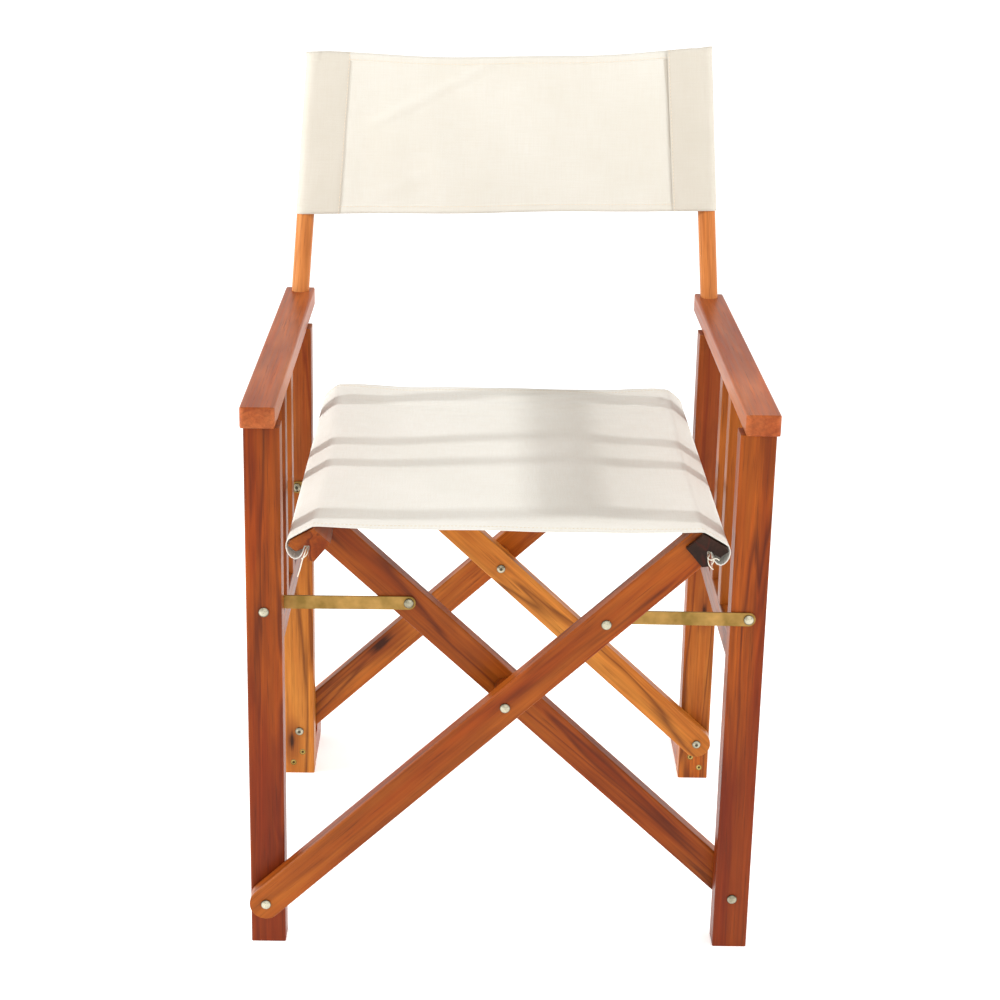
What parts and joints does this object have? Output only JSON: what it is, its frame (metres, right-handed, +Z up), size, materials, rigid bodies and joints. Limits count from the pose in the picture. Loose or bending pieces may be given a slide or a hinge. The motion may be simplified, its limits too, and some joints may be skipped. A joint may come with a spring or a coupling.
{
  "type": "folding armchair",
  "caption": "Folding armchair: two slatted wooden side frames joined by crossed bars, with a cloth seat slung between rails and a cloth back between posts.",
  "frame": {"origin": "on the floor, at the middle of the chair's bounding box", "axes": "+X to the chair's left-hand side as it is looked at from the front (viewer's right), +Y towards the back, +Z up"},
  "size_m": [0.561, 0.5948, 0.9317],
  "materials": {
    "wood_leg": "satin varnish",
    "wood_leg_rear": "satin varnish",
    "wood_arm": "satin varnish",
    "wood_frame": "satin varnish",
    "glide": "matt",
    "screw_steel": "yellow passivated",
    "wood_post": "satin varnish",
    "bolt_steel": "zinc plated",
    "wood_bar_light": "satin varnish",
    "wood_bar": "satin varnish",
    "wood_dark": "dark end grain",
    "brass_strap": "yellow passivated",
    "cloth": "plain woven canvas"
  },
  "bodies": {
    "frame_left": {"leg_front_left": "wood_leg", "leg_rear_left": "wood_leg_rear", "armrest_left": "wood_arm", "side_rail_left": "wood_frame", "slat_left_1": "wood_frame", "slat_left_2": "wood_frame", "foot_left": "wood_frame", "foot_glide_left": "glide", "foot_screws_left": "screw_steel", "back_post_left": "wood_post", "frame_bolts_left": "bolt_steel", "pivot_washers_left": "bolt_steel", "back_cloth_left": "cloth"},
    "leaf_a": {"bar_a_front": "wood_bar", "bar_a_rear": "wood_bar", "seat_rail_right": "wood_dark", "cross_spacer_front": "wood_frame", "cross_spacer_rear": "wood_frame", "cross_bolts": "bolt_steel", "strap_bolts_a": "bolt_steel", "hem_cord_right": "cloth", "seat_cloth_right": "cloth"},
    "leaf_b": {"bar_b_front": "wood_bar", "bar_b_rear": "wood_bar_light", "seat_rail_left": "wood_bar", "strap_bolts_b": "bolt_steel", "hem_cord_left": "cloth", "seat_cloth_left": "cloth"},
    "frame_right": {"leg_front_right": "wood_leg", "leg_rear_right": "wood_leg_rear", "armrest_right": "wood_arm", "side_rail_right": "wood_frame", "slat_right_1": "wood_frame", "slat_right_2": "wood_frame", "foot_right": "wood_frame", "foot_glide_right": "glide", "foot_screws_right": "screw_steel", "back_post_right": "wood_post", "frame_bolts_right": "bolt_steel", "pivot_washers_right": "bolt_steel", "back_cloth_right": "cloth"},
    "link_front_left": {"strap_front_left": "brass_strap", "strap_rivet_front_left": "screw_steel"},
    "link_rear_left": {"strap_rear_left": "brass_strap", "strap_rivet_rear_left": "screw_steel"},
    "link_front_right": {"strap_front_right": "brass_strap", "strap_rivet_front_right": "screw_steel"},
    "link_rear_right": {"strap_rear_right": "brass_strap", "strap_rivet_rear_right": "screw_steel"}
  },
  "joints": [
    {"name": "fold", "type": "hinge", "parent": "frame_left", "child": "leaf_a", "pos_m": [-0.258, -0.0674, 0.06], "axis": [0, -1, 0], "range_deg": [0, 22.31], "deforming": ["seat_cloth_left", "seat_cloth_right", "back_cloth_left", "back_cloth_right"]},
    {"name": "cross", "type": "hinge", "parent": "leaf_a", "child": "leaf_b", "pos_m": [0, -0.0674, 0.3], "axis": [0, 1, 0], "range_deg": [0, 49.16]},
    {"name": "right_foot_pivot", "type": "hinge", "parent": "leaf_b", "child": "frame_right", "pos_m": [0.258, -0.0674, 0.06], "axis": [0, -1, 0], "range_deg": [0, 22.32]},
    {"name": "strap_front_left", "type": "hinge", "parent": "frame_left", "child": "link_front_left", "pos_m": [-0.258, -0.2554, 0.397], "axis": [0, -1, 0], "range_deg": [0, 49.95]},
    {"name": "strap_rear_left", "type": "hinge", "parent": "frame_left", "child": "link_rear_left", "pos_m": [-0.258, 0.1486, 0.397], "axis": [0, -1, 0], "range_deg": [0, 49.95]},
    {"name": "strap_front_right", "type": "hinge", "parent": "frame_right", "child": "link_front_right", "pos_m": [0.258, -0.2554, 0.397], "axis": [0, 1, 0], "range_deg": [0, 49.95]},
    {"name": "strap_rear_right", "type": "hinge", "parent": "frame_right", "child": "link_rear_right", "pos_m": [0.258, 0.1486, 0.397], "axis": [0, 1, 0], "range_deg": [0, 49.95]}
  ],
  "couplings": [
    {"joint": "cross", "follows": "fold", "ratio": 2.2026},
    {"joint": "right_foot_pivot", "follows": "fold", "ratio": 1},
    {"joint": "strap_front_left", "follows": "fold", "ratio": 2.2382},
    {"joint": "strap_rear_left", "follows": "fold", "ratio": 2.2382},
    {"joint": "strap_front_right", "follows": "fold", "ratio": 2.2382},
    {"joint": "strap_rear_right", "follows": "fold", "ratio": 2.2382}
  ]
}
